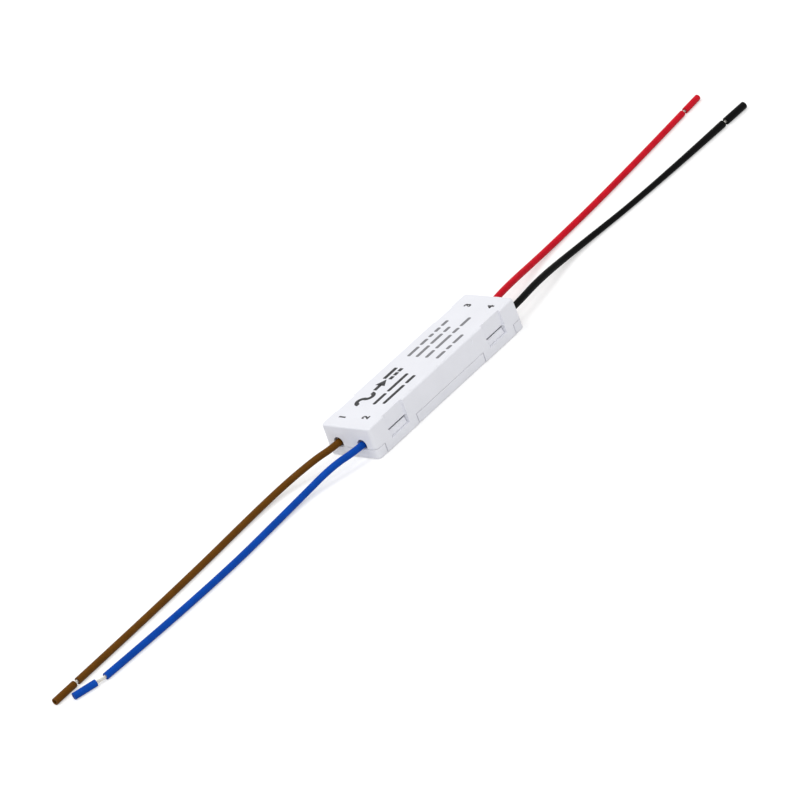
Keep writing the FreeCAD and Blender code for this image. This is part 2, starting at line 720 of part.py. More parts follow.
def conductor_tail(colour):
    """The stretch of bare conductor inside the housing, from the jacket's end towards the middle."""
    start = FreeCAD.Vector(*lead_route(colour)[0])
    inward = FreeCAD.Vector(-math.copysign(1, start.x), 0, 0)
    return Part.makeCylinder(value(f"{LEAD_KINDS[colour]}_wire_radius"), value("tail_length"), start, inward)


def make_conductor(colour):
    """The two stretches of conductor outside the jacket: the tail in the solder and the stripped tip."""
    radius = value(f"{LEAD_KINDS[colour]}_wire_radius")
    points = tip_points(colour)
    if colour in BENT_TIPS:
        tip = swept_tube(f"{colour}_tip", [tuple(point) for point in points], radius)
    else:
        tip = Part.makeCylinder(radius, (points[1] - points[0]).Length, points[0], points[1] - points[0])
    return shape_feature(f"{colour}_conductor", Part.Compound([conductor_tail(colour), tip]))


def make_slug(colour):
    """The cut length of insulation that slides on the stripped tip."""
    kind = LEAD_KINDS[colour]
    outer, bore = f"{kind}_lead_radius", f"{kind}_wire_radius + slug_bore_clearance"
    length = f"{colour}_slug_length"
    body = new_body(f"{colour}_slug")
    profile = new_sketch(body, f"{colour}_slug_profile", "XZ_Plane")
    if colour in WORN_SLUGS:
        outline = [("0", bore), (length, bore), (length, f"{outer} - worn_edge"),
                   (f"{length} - worn_edge", outer), ("0", outer)]
    else:
        outline = [("0", bore), (length, bore), (length, outer), ("0", outer)]
    add_outline(profile, outline)
    revolve(body, profile)
    points = tip_points(colour)
    heading = points[-1] - points[-2]
    heading.normalize()
    # The gap is measured along the bare conductor, from the jacket's cut end
    before_bend = (points[-2] - points[0]).Length
    base = points[-2] + heading * (value(f"{colour}_gap") - before_bend)
    body.Placement = FreeCAD.Placement(base, FreeCAD.Rotation(FreeCAD.Vector(1, 0, 0), heading))
    print(f"{colour}_slug: starts at {tuple(round(part, 4) for part in base)}, "
          f"points along {tuple(round(part, 6) for part in heading)}")
    return body


def make_solder_joints():
    """A hipped mound of solder over each conductor's tail, cut where the conductor lies in it."""
    joints = []
    foot_length, foot_width = value("solder_foot_length"), value("solder_foot_width")
    head_length, head_width = value("solder_head_length"), value("solder_head_width")
    for colour in LEAD_KINDS:
        start = lead_route(colour)[0]
        middle = start[0] - math.copysign(value("tail_length") / 2, start[0])
        mound = Part.makeWedge(-foot_length / 2, 0, -foot_width / 2, -head_width / 2, -head_length / 2,
                               foot_length / 2, value("solder_height"), foot_width / 2, head_width / 2,
                               head_length / 2)
        mound.rotate(FreeCAD.Vector(0, 0, 0), FreeCAD.Vector(1, 0, 0), 90)
        mound.translate(FreeCAD.Vector(middle, start[1], value(BOARD_TOP)))
        joints.append(mound.cut(conductor_tail(colour)))
    return shape_feature("lead_solder_joints", Part.Compound(joints))


DROPPER_SIZES = ("dropper_length", "dropper_width", "dropper_height")
CAPACITOR_SIZES = ("capacitor_length", "capacitor_width", "capacitor_height")
DIODE_SIZES = ("diode_length", "diode_width", "diode_height")
OUTPUT_RESISTOR_SIZES = ("output_resistor_length", "output_resistor_width", "output_resistor_height")
RECTIFIER_SIZES = ("rectifier_length", "rectifier_width", "rectifier_height")
OPTOCOUPLER_SIZES = ("optocoupler_length", "optocoupler_width", "optocoupler_height")
TRANSISTOR_SIZES = ("transistor_length", "transistor_width", "transistor_height")

parts = [
    make_cover(),
    make_base(),
    make_board(),
    make_fusible_resistor(),
    make_chip_row("dropper_resistors", DROPPER_COUNT, "dropper_place", "dropper_pitch", "dropper_side",
                  DROPPER_SIZES),
    make_package("bridge_rectifier", "rectifier_place", "rectifier_side", RECTIFIER_SIZES,
                 "rectifier_pin_pitch", "pin_reach", (-1, 1), (-1, 1)),
    make_chip("smoothing_capacitor", "capacitor_place", "capacitor_side", CAPACITOR_SIZES),
    make_chip("zener_diode", "zener_place", "diode_side", DIODE_SIZES),
    make_package("optocoupler", "slot_place", "optocoupler_side", OPTOCOUPLER_SIZES,
                 "optocoupler_pin_pitch", "pin_reach", (-1, 1), (-1, 1)),
    make_chip("output_diode", "output_diode_place", "-diode_side", DIODE_SIZES),
    make_package("output_transistor", "transistor_place", "transistor_side", TRANSISTOR_SIZES,
                 "transistor_pin_pitch", "transistor_pin_reach", (0,), (-1, 1)),
    make_chip_row("output_resistors", OUTPUT_RESISTOR_COUNT, "output_resistor_place", "output_resistor_pitch",
                  "output_resistor_side", OUTPUT_RESISTOR_SIZES),
    make_solder_joints(),
]
for colour in ROUTES:
    parts += [make_lead(colour), make_conductor(colour), make_slug(colour)]

doc.recompute()
for item in doc.Objects:
    if "Invalid" in item.State or "Error" in item.State:
        raise RuntimeError(f"{item.Label} failed: {item.State}")
for item in parts:
    if item.Shape.isNull() or not item.Shape.isValid():
        raise RuntimeError(item.Label + " has no valid shape")

os.makedirs("parts", exist_ok=True)
for item in parts:
    item.Shape.exportStep(f"parts/{item.Label}.step")
    print(f"{item.Label}: {len(item.Shape.Solids)} solids, {item.Shape.Volume:.2f} mm3")
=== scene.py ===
import math
import random

import bmesh
import bpy
from bpy.props import FloatProperty, FloatVectorProperty, IntProperty, PointerProperty
from mathutils import Matrix, Vector


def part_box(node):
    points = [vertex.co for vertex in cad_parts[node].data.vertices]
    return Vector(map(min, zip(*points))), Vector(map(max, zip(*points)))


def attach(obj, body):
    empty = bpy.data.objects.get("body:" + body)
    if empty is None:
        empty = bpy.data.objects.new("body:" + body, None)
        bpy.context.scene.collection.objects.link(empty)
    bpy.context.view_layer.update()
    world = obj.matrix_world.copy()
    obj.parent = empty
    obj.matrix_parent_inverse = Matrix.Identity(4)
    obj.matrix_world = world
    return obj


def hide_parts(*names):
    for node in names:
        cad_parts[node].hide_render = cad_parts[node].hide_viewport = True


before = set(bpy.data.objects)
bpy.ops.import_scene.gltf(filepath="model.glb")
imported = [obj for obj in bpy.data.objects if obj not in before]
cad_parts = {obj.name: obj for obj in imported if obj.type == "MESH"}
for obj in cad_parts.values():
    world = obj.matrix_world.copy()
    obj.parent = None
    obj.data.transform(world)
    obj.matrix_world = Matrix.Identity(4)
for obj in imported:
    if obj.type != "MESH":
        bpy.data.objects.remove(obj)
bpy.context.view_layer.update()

bl_info = {
    "name": "In-wall decoupler module",
    "version": (1, 0, 0),
    "blender": (4, 5, 0),
    "location": "View3D > Sidebar > Decoupler",
    "description": "Dresses the module: moulded shells, leads with stranded ends, slugs, print and board",
    "category": "Add Mesh",
}

MM = 0.001
TOP_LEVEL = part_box("cover")[1].z
UP = Vector((0, 0, 1))

# The leads' routes in metres, from the soldered end to the cut end
ROUTES = {
    "brown": [(-0.0259, 0.0039, 0.0039), (-0.0318, 0.0039, 0.0039), (-0.038, 0.0062, 0.0036),
              (-0.0507, 0.0109, 0.0009), (-0.0891, 0.0086, 0.0009), (-0.1272, 0.0084, 0.0009)],
    "blue": [(-0.0259, -0.0039, 0.0039), (-0.0318, -0.0039, 0.0039), (-0.0388, -0.001, 0.0034),
             (-0.0502, 0.0017, 0.0009), (-0.0872, -0.0004, 0.0009), (-0.124, 0.0019, 0.0009)],
    "red": [(0.0259, 0.0039, 0.0038), (0.032, 0.0039, 0.0038), (0.042, 0.0056, 0.0035),
            (0.0615, 0.0094, 0.00087), (0.0938, 0.0107, 0.00087), (0.1301, 0.01415, 0.00087)],
    "black": [(0.0259, -0.0039, 0.0038), (0.0333, -0.0039, 0.0038), (0.0464, -0.0016, 0.0033),
              (0.0636, 0.0009, 0.0009), (0.093, -0.0019, 0.0008), (0.126, -0.0026, 0.00102)],
}
INPUT_COLOURS = ("brown", "blue")

# The bare stretch before each slug, and the slug's length
GAPS = {"brown": 0.0011, "blue": 0.00275, "red": 0.00135, "black": 0.0013}
SLUG_LENGTHS = {"brown": 0.0073, "blue": 0.0064, "red": 0.007, "black": 0.0082}
# Only the blue tip is bent: how far outside the jacket, and by how much
BENDS = {"blue": (0.00045, math.radians(-15))}
# Only the red slug's far end is worn round
WORN_EDGES = {"red": 0.0003}
# How thick a lead is at its route's points, against its size: the black one swells towards both ends
THICKNESS = {"brown": (1, 1, 1, 1, 1, 1), "blue": (1, 1, 1, 1, 1, 1),
             "red": (1, 1.1, 1.14, 1.09, 1.08, 1.08), "black": (1, 1.12, 1.2, 1.1, 0.92, 1.27)}
# Roundness of a slug's cut edges, and the room between its bore and the conductor
CUT_EDGE = 0.00006
BORE_CLEARANCE = 0.00005
SLEEVE_SIDES = 48
# The soldered tail inside the housing
TAIL_LENGTH = 0.003

# How far apart a strand's sections are, and how unevenly the strands are cut, at random from the seed
STRAND_STEP = 0.35 * MM
STRAND_UNEVENNESS = 0.06 * MM
SEED = 7
# A strand fills a little less than its place, so neighbours stay apart
STRAND_FILL = 0.98
STRAND_SIDES = 8
# The core's surface lies this many strand radii below the conductor's
CORE_DEPTH = 1.6
CORE_SIDES = 20

# Points of a mesh this close are one point: in a new shape, and in a copy of a shell
MERGE_DISTANCE = 0.0005 * MM
SHELL_MERGE_DISTANCE = 0.002 * MM
# A shell's faces meet flat below the first angle, and at a moulded edge above the second
FLAT_ANGLE = math.radians(0.2)
EDGE_ANGLE = math.radians(32)

# Printed marks in millimetres on the housing's top: middle of each number, then its text
NUMERALS = [(-26.0, 3.87, "1"), (-25.15, -3.2, "2"), (24.85, 3.2, "3"), (25.15, -4.1, "4")]
# Start and height of each printed row, then the lengths of its bars
DARK_ROWS = [(-19.65, -1.3, (5.0, 8.1)), (-18.95, -4.0, (8.4, 3.6))]
GREY_ROWS = [(1.25, 4.2, (4.4, 2.8, 1.6, 2.0, 2.5)), (1.35, 1.45, (5.2, 4.6, 2.4)),
             (1.45, -1.6, (3.4, 6.2, 2.4, 4.0)), (1.55, -5.05, (3.4, 1.9, 4.0))]
BAR_GAP = 0.8
BAR_HEIGHT = 1.0
# How much bolder than their font the numbers are
NUMERAL_WEIGHT = 0.045

# The symbols in millimetres: their middle line, and the width and corners of their straight strokes
SYMBOLS_ALONG = 3.0
STROKE_WIDTH = 1.1
STROKE_ROUNDNESS = 0.1
# Alternating current: one wave of two half rings
WAVE_MIDDLES = (-19.2, -16.5)
WAVE_RADIUS = 1.35
WAVE_WIDTH = 1.15
# The arrow between the two currents: middle and length of its shaft, middle and radius of its head
ARROW_SHAFT = (-12.7, 2.6)
ARROW_HEAD = (-10.9, 1.8)
# Direct current: a line over three dashes
DIRECT_LINE = (-6.4, 5.0)
DASH_MIDDLES = (-8.2, -6.4, -4.6)
DASH_LENGTH = 1.4
DIRECT_OFFSET = 0.95

# Most of a noise's values lie between these
NOISE_RANGE = (0.3, 0.7)
# How far a finish's roughness goes up and down
ROUGHNESS_SWING = 0.06

# Where each lamp stands in metres, and how wide it is
LAMPS = {"key": ((-0.3, 0.4, 1.0), 0.7), "fill": ((-0.17, -0.7, 1.1), 0.8), "end": ((-1.0, -0.5, 0.7), 0.8)}
SENSOR_WIDTH = 36
FLOOR_HALF_WIDTH = 0.6
FLOOR_GREY = 0.75
# What brings the lit floor up to white where it is seen directly
FLOOR_GLOW = 0.38


class HousingSettings(bpy.types.PropertyGroup):
    shell_colour: FloatVectorProperty(
        name="Shell colour", description="Colour of the white plastic", subtype="COLOR", size=3,
        min=0, max=1, default=(0.85, 0.857, 0.91))
    edge_radius: FloatProperty(
        name="Edge radius", description="Roundness of the moulded edges", subtype="DISTANCE", unit="LENGTH",
        default=0.06 * MM, min=0.01 * MM, max=0.12 * MM, precision=5)
    grain_size: FloatProperty(
        name="Grain size", description="Size of the eroded mould texture", subtype="DISTANCE",
        unit="LENGTH", default=0.14 * MM, min=0.05 * MM, max=1 * MM, precision=5)


class LeadSettings(bpy.types.PropertyGroup):
    brown: FloatVectorProperty(
        name="Brown", description="Colour of the brown insulation", subtype="COLOR", size=3,
        min=0, max=1, default=(0.14, 0.052, 0.004))
    blue: FloatVectorProperty(
        name="Blue", description="Colour of the blue insulation", subtype="COLOR", size=3,
        min=0, max=1, default=(0.003, 0.066, 0.41))
    red: FloatVectorProperty(
        name="Red", description="Colour of the red insulation", subtype="COLOR", size=3,
        min=0, max=1, default=(0.64, 0.008, 0.022))
    black: FloatVectorProperty(
        name="Black", description="Colour of the black insulation", subtype="COLOR", size=3,
        min=0, max=1, default=(0.0025, 0.0025, 0.0025))
    input_diameter: FloatProperty(
        name="Input lead", description="Outer diameter of the input leads", subtype="DISTANCE",
        unit="LENGTH", default=1.8 * MM, precision=5)
    output_diameter: FloatProperty(
        name="Output lead", description="Outer diameter of the output leads", subtype="DISTANCE",
        unit="LENGTH", default=1.6 * MM, precision=5)
    input_wire: FloatProperty(
        name="Input conductor", description="Diameter of the input conductors", subtype="DISTANCE",
        unit="LENGTH", default=0.94 * MM, precision=5)
    output_wire: FloatProperty(
        name="Output conductor", description="Diameter of the output conductors", subtype="DISTANCE",
        unit="LENGTH", default=0.76 * MM, precision=5)
    input_strands: IntProperty(
        name="Input strands", description="Strands in the outer layer of an input conductor",
        default=14, min=6, max=24)
    output_strands: IntProperty(
        name="Output strands", description="Strands in the outer layer of an output conductor",
        default=11, min=6, max=24)
    lay_length: FloatProperty(
        name="Lay length", description="Length in which a strand goes once round", subtype="DISTANCE",
        unit="LENGTH", default=11 * MM, precision=5)


class PrintSettings(bpy.types.PropertyGroup):
    ink_height: FloatProperty(
        name="Ink thickness", description="How far the ink stands on the plastic", subtype="DISTANCE",
        unit="LENGTH", default=0.02 * MM, precision=6)
    numeral_height: FloatProperty(
        name="Numeral height", description="Height of the terminal numbers", subtype="DISTANCE",
        unit="LENGTH", default=2.15 * MM, precision=5)
    dark_ink: FloatVectorProperty(
        name="Dark ink", description="Colour of the numbers and symbols", subtype="COLOR", size=3,
        min=0, max=1, default=(0.012, 0.012, 0.014))
    grey_ink: FloatVectorProperty(
        name="Grey ink", description="Colour of the printed rows", subtype="COLOR", size=3,
        min=0, max=1, default=(0.2, 0.2, 0.215))


class StageSettings(bpy.types.PropertyGroup):
    azimuth: FloatProperty(
        name="Azimuth", description="Camera's heading round the module", subtype="ANGLE",
        default=math.radians(-41.45))
    elevation: FloatProperty(
        name="Elevation", description="Camera's height above the horizon", subtype="ANGLE",
        default=math.radians(26.54))
    roll: FloatProperty(
        name="Roll", description="Camera's turn about its own line of sight", subtype="ANGLE",
        default=math.radians(-20.88))
    distance: FloatProperty(
        name="Distance", description="Camera's distance from the housing", subtype="DISTANCE",
        unit="LENGTH", default=1.3)
    picture_width: FloatProperty(
        name="Picture width", description="Width of the picture at the housing", subtype="DISTANCE",
        unit="LENGTH", default=197.04 * MM)
    pivot_height: FloatProperty(
        name="Pivot height", description="Height of the point that the camera turns about",
        subtype="DISTANCE", unit="LENGTH", default=4.3 * MM, precision=5)
    aim_right: FloatProperty(
        name="Aim right", description="How far right of the housing's middle the camera looks",
        subtype="DISTANCE", unit="LENGTH", default=-5.788 * MM)
    aim_up: FloatProperty(
        name="Aim up", description="How far above the housing's middle the camera looks",
        subtype="DISTANCE", unit="LENGTH", default=-6.005 * MM)
    key_power: FloatProperty(
        name="Key lamp", description="Power of the soft lamp behind", subtype="POWER", default=3.4)
    fill_power: FloatProperty(
        name="Fill lamp", description="Power of the soft lamp in front", subtype="POWER", default=3.65)
    end_power: FloatProperty(
        name="End lamp", description="Power of the soft lamp at the input end", subtype="POWER",
        default=1.26)
    sky: FloatProperty(
        name="Sky", description="Strength of the even light from all round", default=0.6)


# Materials


def new_material(name, roughness, metallic=0.0):
    """A material with a principled shader, and its node tree."""
    material = bpy.data.materials.new(name)
    material.use_nodes = True
    tree = material.node_tree
    shader = tree.nodes["Principled BSDF"]
    shader.inputs["Roughness"].default_value = roughness
    shader.inputs["Metallic"].default_value = metallic
    return material, tree, shader


def object_coordinates(tree, stretch=(1, 1, 1)):
    """Object coordinates, squeezed along an axis where a pattern runs one way."""
    place = tree.nodes.new("ShaderNodeTexCoord")
    mapping = tree.nodes.new("ShaderNodeMapping")
    mapping.inputs["Scale"].default_value = stretch
    tree.links.new(place.outputs["Object"], mapping.inputs["Vector"])
    return mapping.outputs["Vector"]


def noise_pattern(tree, vector, size, detail=3.0, roughness=0.5):
    """A noise whose blotches are about the given size in metres."""
    pattern = tree.nodes.new("ShaderNodeTexNoise")
    pattern.inputs["Scale"].default_value = 1 / size
    pattern.inputs["Detail"].default_value = detail
    pattern.inputs["Roughness"].default_value = roughness
    tree.links.new(vector, pattern.inputs["Vector"])
    return pattern.outputs["Fac"]


def spread(tree, value, low, high):
    """A noise's usual range stretched from low to high."""
    node = tree.nodes.new("ShaderNodeMapRange")
    node.inputs["From Min"].default_value = NOISE_RANGE[0]
    node.inputs["From Max"].default_value = NOISE_RANGE[1]
    node.inputs["To Min"].default_value = low
    node.inputs["To Max"].default_value = high
    tree.links.new(value, node.inputs["Value"])
    return node.outputs["Result"]


def colour_between(tree, value, low, high):
    """A colour that goes from low to high with a noise."""
    ramp = tree.nodes.new("ShaderNodeValToRGB")
    for element, place, colour in zip(ramp.color_ramp.elements, NOISE_RANGE, (low, high)):
        element.position = place
        element.color = (*colour, 1)
    tree.links.new(value, ramp.inputs["Fac"])
    return ramp.outputs["Color"]


def shaded(colour, factor):
    """A colour made darker or lighter by a factor."""
    return tuple(min(1.0, part * factor) for part in colour)


def add_bump(tree, shader, height, distance):
    """Gives a shader's surface the relief of a pattern."""
    bump = tree.nodes.new("ShaderNodeBump")
    bump.inputs["Distance"].default_value = distance
    tree.links.new(height, bump.inputs["Height"])
    tree.links.new(bump.outputs["Normal"], shader.inputs["Normal"])


def mottled(name, colour, size, roughness, contrast=0.06, metallic=0.0, relief=0.004 * MM):
    """A material whose colour, gloss and surface all vary a little in blotches of one size."""
    material, tree, shader = new_material(name, roughness, metallic)
    blotches = noise_pattern(tree, object_coordinates(tree), size, detail=4.0, roughness=0.6)
    colours = colour_between(tree, blotches, shaded(colour, 1 - contrast), shaded(colour, 1 + contrast))
    tree.links.new(colours, shader.inputs["Base Color"])
    tree.links.new(spread(tree, blotches, roughness + ROUGHNESS_SWING, roughness - ROUGHNESS_SWING),
                   shader.inputs["Roughness"])
    add_bump(tree, shader, blotches, relief)
    return material


def moulded_plastic(name, colour, grain_size, roughness):
    """Moulded plastic: a fine eroded grain, a faint cloudiness and slightly uneven gloss."""
    material, tree, shader = new_material(name, roughness)
    vector = object_coordinates(tree)
    clouds = noise_pattern(tree, vector, 9 * MM, detail=2.0)
    grain = noise_pattern(tree, vector, grain_size, detail=4.0, roughness=0.6)
    tree.links.new(colour_between(tree, clouds, shaded(colour, 0.98), shaded(colour, 1.02)),
                   shader.inputs["Base Color"])
    tree.links.new(spread(tree, grain, roughness - ROUGHNESS_SWING, roughness + ROUGHNESS_SWING),
                   shader.inputs["Roughness"])
    add_bump(tree, shader, grain, distance=0.004 * MM)
    return material


def insulation(colour):
    """Extruded insulation: faint drawn lines along the lead, and a soft gloss."""
    name = f"{colour}_insulation_finish"
    if name in bpy.data.materials:
        return bpy.data.materials[name]
    tint = getattr(bpy.context.scene.decoupler_leads, colour)
    material, tree, shader = new_material(name, roughness=0.38)
    shader.inputs["Specular IOR Level"].default_value = 0.05
    along_lead = object_coordinates(tree, stretch=(0.06, 1, 1))
    lines = noise_pattern(tree, along_lead, 0.16 * MM, roughness=0.55)
    blotches = noise_pattern(tree, object_coordinates(tree), 2.5 * MM)
    tree.links.new(colour_between(tree, blotches, shaded(tint, 0.88), shaded(tint, 1.1)),
                   shader.inputs["Base Color"])
    tree.links.new(spread(tree, lines, low=0.32, high=0.46), shader.inputs["Roughness"])
    add_bump(tree, shader, lines, distance=0.006 * MM)
    return material


# Making pieces


def finish_piece(name, source, material, body, replaced=None):
    """Turns a bmesh into a piece that rides on a body and may stand for a node."""
    mesh = bpy.data.meshes.new(name)
    source.to_mesh(mesh)
    source.free()
    mesh.materials.append(material)
    piece = bpy.data.objects.new(name, mesh)
    bpy.context.scene.collection.objects.link(piece)
    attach(piece, body)
    if replaced:
        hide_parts(replaced)
    return piece


def shade_smooth(piece, angle=math.radians(35)):
    """Shades a piece smoothly, apart from edges sharper than an angle."""
    for face in piece.data.polygons:
        face.use_smooth = True
    piece.data.set_sharp_from_angle(angle=angle)


def turned_to(heading):
    """The turn from +Z to a level heading, with the Y axis pointing up."""
    return Matrix((UP.cross(heading), UP, heading)).transposed().to_4x4()


def tip_frame(colour):
    """The matrix that takes +Z at the origin to the stripped tip, from the jacket's cut end outwards."""
    before, end = (Vector(point) for point in ROUTES[colour][-2:])
    heading = end - before
    heading.z = 0
    return Matrix.Translation(end) @ turned_to(heading.normalized())


def slug_frame(colour):
    """The matrix that takes +Z at the origin to the slug's axis, from its inner end outwards."""
    bend_at, angle = BENDS.get(colour, (0, 0))
    bent = Matrix.Translation(UP * bend_at) @ Matrix.Rotation(angle, 4, "Y")
    return tip_frame(colour) @ bent @ Matrix.Translation(UP * (GAPS[colour] - bend_at))


def lead_sizes(colour):
    """A lead's diameter, its conductor's, and the strands in the conductor's outer layer."""
    settings = bpy.context.scene.decoupler_leads
    if colour in INPUT_COLOURS:
        return settings.input_diameter, settings.input_wire, settings.input_strands
    return settings.output_diameter, settings.output_wire, settings.output_strands


def raised_verts(shape, faces):
    """Extrudes faces in place, and returns the vertices to move."""
    raised = bmesh.ops.extrude_face_region(shape, geom=faces)["geom"]
    return [item for item in raised if isinstance(item, bmesh.types.BMVert)]


def lay_strands(length, wire_radius, count, lay_length, rng):
    """Strands wound round a core, along +Z from the origin."""
    share = math.sin(math.pi / count)
    strand_radius = wire_radius * share / (1 + share)
    steps = max(4, math.ceil(length / STRAND_STEP))
    bundle = bmesh.new()
    for index in range(count):
        verts = bmesh.ops.create_circle(bundle, cap_ends=True, segments=STRAND_SIDES,
                                        radius=strand_radius * STRAND_FILL)["verts"]
        place = Matrix.Rotation(2 * math.pi * index / count, 4, "Z")
        bmesh.ops.transform(bundle, verts=verts,
                            matrix=place @ Matrix.Translation((wire_radius - strand_radius, 0, 0)))
        cap = verts[0].link_faces[0]
        own_length = length + rng.uniform(-STRAND_UNEVENNESS, STRAND_UNEVENNESS)
        bmesh.ops.spin(bundle, geom=[*verts, *cap.edges, cap], cent=(0, 0, 0), axis=(0, 0, 1),
                       dvec=UP * own_length / steps, angle=2 * math.pi * length / lay_length,
                       steps=steps, use_duplicate=False)
    core = bmesh.ops.create_circle(bundle, cap_ends=True, segments=CORE_SIDES,
                                   radius=wire_radius - CORE_DEPTH * strand_radius)["verts"]
    bmesh.ops.translate(bundle, vec=UP * length, verts=raised_verts(bundle, core[0].link_faces[:]))
    bmesh.ops.recalc_face_normals(bundle, faces=bundle.faces)
    return bundle


def add_shape(shape, other):
    """Adds another bmesh to a shape, and frees it."""
    carrier = bpy.data.meshes.new("carrier")
    other.to_mesh(carrier)
    other.free()
    shape.from_mesh(carrier)
    bpy.data.meshes.remove(carrier)


def bend_tip(bundle, bend_at, angle):
    """Bends a bundle that lies along +Z, sideways and softly about one place."""
    softness = 0.3 * MM
    pivot = UP * bend_at
    for vert in bundle.verts:
        share = min(1.0, max(0.0, (vert.co.z - bend_at + softness) / (2 * softness)))
        vert.co = pivot + Matrix.Rotation(angle * share, 3, "Y") @ (vert.co - pivot)


def make_sleeve(length, outer, bore, worn_edge):
    """A short tube along +Z: its section's corners are rounded, and the section is spun once round."""
    sleeve = bmesh.new()
    middle = Matrix.Translation(((outer + bore) / 2, 0, length / 2))
    size = Matrix.Diagonal((outer - bore, 1, length, 1))
    upright = Matrix.Rotation(math.pi / 2, 4, "X")
    verts = bmesh.ops.create_grid(sleeve, x_segments=1, y_segments=1, size=0.5,
                                  matrix=middle @ size @ upright)["verts"]
    worn = [vert for vert in verts if vert.co.x > (outer + bore) / 2 and vert.co.z > length / 2]
    others = [vert for vert in verts if vert not in worn]
    for group, offset in ((others, CUT_EDGE), (worn, worn_edge)):
        bmesh.ops.bevel(sleeve, geom=group, offset=offset, offset_type="OFFSET", segments=4, profile=0.5,
                        affect="VERTICES", material=-1, clamp_overlap=True)
    bmesh.ops.delete(sleeve, geom=sleeve.faces[:], context="FACES_ONLY")
    bmesh.ops.spin(sleeve, geom=sleeve.verts[:] + sleeve.edges[:], cent=(0, 0, 0), axis=(0, 0, 1),
                   dvec=(0, 0, 0), angle=2 * math.pi, steps=SLEEVE_SIDES, use_merge=True,
                   use_duplicate=False)
    bmesh.ops.remove_doubles(sleeve, verts=sleeve.verts, dist=MERGE_DISTANCE)
    bmesh.ops.recalc_face_normals(sleeve, faces=sleeve.faces)
    return sleeve


def soften_shell(node, radius):
    """A merged copy of a moulded shell with its sharp edges rounded."""
    shell = bmesh.new()
    shell.from_mesh(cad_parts[node].data)
    bmesh.ops.remove_doubles(shell, verts=shell.verts, dist=SHELL_MERGE_DISTANCE)
    bmesh.ops.dissolve_limit(shell, angle_limit=FLAT_ANGLE, verts=shell.verts, edges=shell.edges)
    sharp = [edge for edge in shell.edges
             if len(edge.link_faces) == 2 and edge.calc_face_angle() > EDGE_ANGLE]
    bmesh.ops.bevel(shell, geom=sharp, offset=radius, offset_type="OFFSET", segments=2, profile=0.5,
                    affect="EDGES", clamp_overlap=True, material=-1)
    return shell


def add_bar(shape, across, along, length, width, roundness=0.35):
    """A flat bar with rounded corners on the housing's top, placed in millimetres."""
    place = Matrix.Translation((across * MM, along * MM, TOP_LEVEL))
    size = Matrix.Diagonal((length * MM, width * MM, 1, 1))
    verts = bmesh.ops.create_grid(shape, x_segments=1, y_segments=1, size=0.5, matrix=place @ size)["verts"]
    bmesh.ops.bevel(shape, geom=verts, offset=min(length, width) * roundness * MM, offset_type="OFFSET",
                    segments=4, profile=0.5, affect="VERTICES", material=-1, clamp_overlap=True)


def add_half_ring(shape, across, along, radius, width, angle):
    """A flat half ring on the housing's top, placed in millimetres, that starts on its right."""
    middle = Vector((across * MM, along * MM, TOP_LEVEL))
    reaches = [(radius + side * width / 2) * MM for side in (-1, 1)]
    ends = [bmesh.ops.create_vert(shape, co=middle + Vector((reach, 0, 0)))["vert"][0] for reach in reaches]
    edge = shape.edges.new(ends)
    bmesh.ops.spin(shape, geom=[*ends, edge], cent=middle, axis=(0, 0, 1), dvec=(0, 0, 0), angle=angle,
                   steps=20, use_merge=False, use_duplicate=False)


def add_rows(shape, rows):
    """Rows of bars on the housing's top."""
    for start, along, bars in rows:
        for length in bars:
            add_bar(shape, start + length / 2, along, length, BAR_HEIGHT)
            start += length + BAR_GAP


def add_numeral(shape, text, across, along, height):
    """A printed number on the housing's top, made a mesh before it is placed."""
    line = bpy.data.curves.new("numeral", "FONT")
    line.body = text
    line.offset = NUMERAL_WEIGHT
    carrier = bpy.data.objects.new("numeral", line)
    mesh = bpy.data.meshes.new_from_object(carrier)
    low = Vector([min(vert.co[axis] for vert in mesh.vertices) for axis in range(3)])
    high = Vector([max(vert.co[axis] for vert in mesh.vertices) for axis in range(3)])
    scale = height / (high.y - low.y)
    mesh.transform(Matrix.Translation((across * MM, along * MM, TOP_LEVEL)) @ Matrix.Scale(scale, 4)
                   @ Matrix.Translation(-(low + high) / 2))
    shape.from_mesh(mesh)
    bpy.data.objects.remove(carrier)
    bpy.data.curves.remove(line)
    bpy.data.meshes.remove(mesh)


def raise_ink(name, shape, colour):
    """Gives flat marks the ink's thickness and makes them a piece."""
    settings = bpy.context.scene.decoupler_print
    bmesh.ops.remove_doubles(shape, verts=shape.verts, dist=MERGE_DISTANCE)
    bmesh.ops.translate(shape, vec=UP * settings.ink_height, verts=raised_verts(shape, shape.faces[:]))
    bmesh.ops.recalc_face_normals(shape, faces=shape.faces)
    material = mottled(f"{name}_ink", colour, 0.25 * MM, roughness=0.55, contrast=0.12, relief=0.002 * MM)
    finish_piece(name, shape, material, "module")


# Operators


